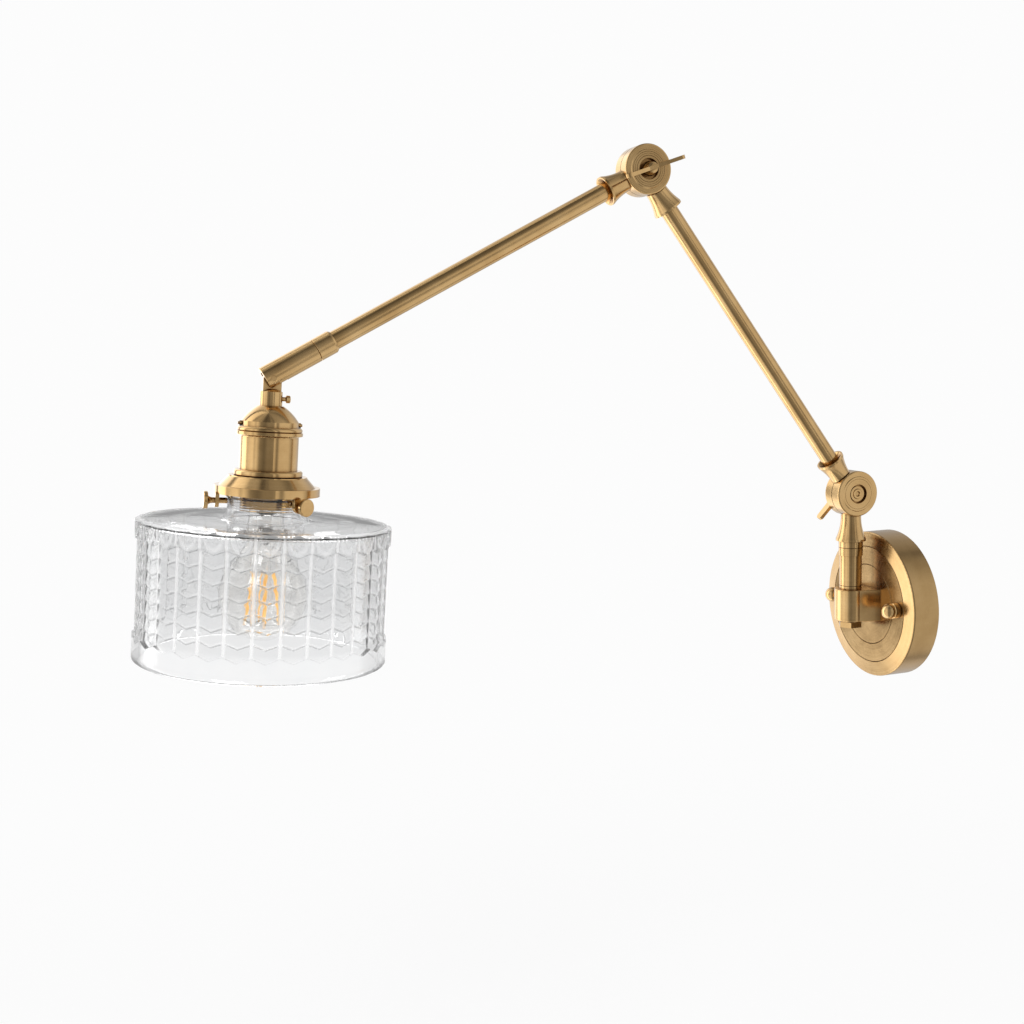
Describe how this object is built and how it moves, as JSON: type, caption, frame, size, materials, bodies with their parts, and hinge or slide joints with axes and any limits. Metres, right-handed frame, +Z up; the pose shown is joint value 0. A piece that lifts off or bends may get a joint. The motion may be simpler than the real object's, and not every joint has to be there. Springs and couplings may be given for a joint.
{
  "type": "articulating wall lamp",
  "caption": "Swing-arm wall lamp in satin brass: round wall plate, swivel post, two disc-jointed arms, tilting lampholder and a clear pressed-glass drum shade.",
  "frame": {"origin": "centre of the wall face: the middle of the bracket's back, on the post's centre plane", "axes": "+Y into the wall, +Z up, +X along the wall; the lamp reaches out along -Y"},
  "size_m": [0.1746, 0.6114, 0.4252],
  "materials": {
    "satin_brass": "satin, lightly aged",
    "steel": "zinc plated",
    "fibre": "matt fibre",
    "terminal": "matt, pale",
    "moulding": "black moulding",
    "clear_glass": "clear, pressed pattern",
    "bulb_glass": "clear, blown",
    "nickel": "bright, rolled",
    "filament": "amber coating"
  },
  "bodies": {
    "wall_mount": {"wall_plate": "satin_brass", "mounting_bracket": "steel", "canopy_studs": "steel", "ball_nut_left": "satin_brass", "ball_nut_right": "satin_brass", "swivel_lug": "satin_brass", "lug_bush": "satin_brass", "lug_screws": "steel", "terminal_block": "terminal", "earth_screw": "steel"},
    "post": {"post_spindle": "steel", "post_tube": "satin_brass", "post_collar": "satin_brass", "swivel_washer": "satin_brass", "post_lock_washer": "steel", "post_nut": "satin_brass", "lower_joint_front": "satin_brass", "lower_pivot_bolt": "satin_brass", "lower_friction_washer": "fibre"},
    "lower_arm": {"lower_joint_rear": "satin_brass", "lower_arm_tube": "satin_brass", "upper_joint_rear": "satin_brass", "upper_pivot_bolt": "satin_brass", "upper_friction_washer": "fibre"},
    "upper_arm": {"upper_joint_front": "satin_brass", "upper_arm_tube": "satin_brass", "arm_end_sleeve": "satin_brass"},
    "knuckle": {"knuckle": "satin_brass", "knuckle_spigot": "steel", "knuckle_pin": "steel"},
    "head": {"head_eye": "satin_brass", "head_stem": "satin_brass", "socket_cap": "satin_brass", "cap_screws": "satin_brass", "cap_ring": "satin_brass", "socket_shell": "satin_brass", "shade_ring": "satin_brass", "socket_skirt": "satin_brass", "gallery": "satin_brass", "gallery_nut": "satin_brass", "socket_insert": "moulding", "screw_shell": "satin_brass", "centre_contact": "satin_brass", "glass_shade": "clear_glass", "bulb_glass": "bulb_glass", "bulb_cap": "nickel", "bulb_insulator": "moulding", "bulb_contact": "nickel", "bulb_stem": "bulb_glass", "filament_wires": "steel", "filaments": "filament"},
    "lower_key": {"lower_wing_key": "satin_brass"},
    "upper_key": {"upper_wing_key": "satin_brass"},
    "shade_screw_1": {"shade_screw_1": "satin_brass"},
    "shade_screw_2": {"shade_screw_2": "satin_brass"},
    "shade_screw_3": {"shade_screw_3": "satin_brass"},
    "stem_screw": {"stem_screw": "satin_brass"}
  },
  "joints": [
    {"name": "post_swivel", "type": "hinge", "parent": "wall_mount", "child": "post", "pos_m": [0, -0.0413, 0], "axis": [0, 0, 1], "range_deg": [-80, 80]},
    {"name": "lower_joint", "type": "hinge", "parent": "post", "child": "lower_arm", "pos_m": [0, -0.0413, 0.0937], "axis": [1, 0, 0], "range_deg": [-35, 60]},
    {"name": "upper_joint", "type": "hinge", "parent": "lower_arm", "child": "upper_arm", "pos_m": [0, -0.22381, 0.34675], "axis": [1, 0, 0], "range_deg": [-80, 35]},
    {"name": "knuckle_turn", "type": "hinge", "parent": "upper_arm", "child": "knuckle", "pos_m": [0, -0.50709, 0.20427], "axis": [0, -0.8934, -0.4493], "range_deg": [-90, 90]},
    {"name": "head_tilt", "type": "hinge", "parent": "knuckle", "child": "head", "pos_m": [0, -0.5062, 0.20249], "axis": [-1, 0, 0], "range_deg": [-40, 58]},
    {"name": "lower_key_turn", "type": "hinge", "parent": "post", "child": "lower_key", "pos_m": [-0.016, -0.0413, 0.0937], "axis": [-1, 0, 0], "continuous": true},
    {"name": "upper_key_turn", "type": "hinge", "parent": "lower_arm", "child": "upper_key", "pos_m": [0.016, -0.22381, 0.34675], "axis": [1, 0, 0], "continuous": true},
    {"name": "stem_screw_turn", "type": "hinge", "parent": "head", "child": "stem_screw", "pos_m": [0, -0.50751, 0.18855], "axis": [0, 0.9956, -0.0941], "continuous": true},
    {"name": "shade_screw_1_turn", "type": "hinge", "parent": "head", "child": "shade_screw_1", "pos_m": [0, -0.51422, 0.11757], "axis": [0, -0.9956, 0.0941], "continuous": true},
    {"name": "shade_screw_2_turn", "type": "hinge", "parent": "head", "child": "shade_screw_2", "pos_m": [0, -0.51422, 0.11757], "axis": [-0.866, 0.4978, -0.0471], "continuous": true},
    {"name": "shade_screw_3_turn", "type": "hinge", "parent": "head", "child": "shade_screw_3", "pos_m": [0, -0.51422, 0.11757], "axis": [0.866, 0.4978, -0.0471], "continuous": true}
  ]
}
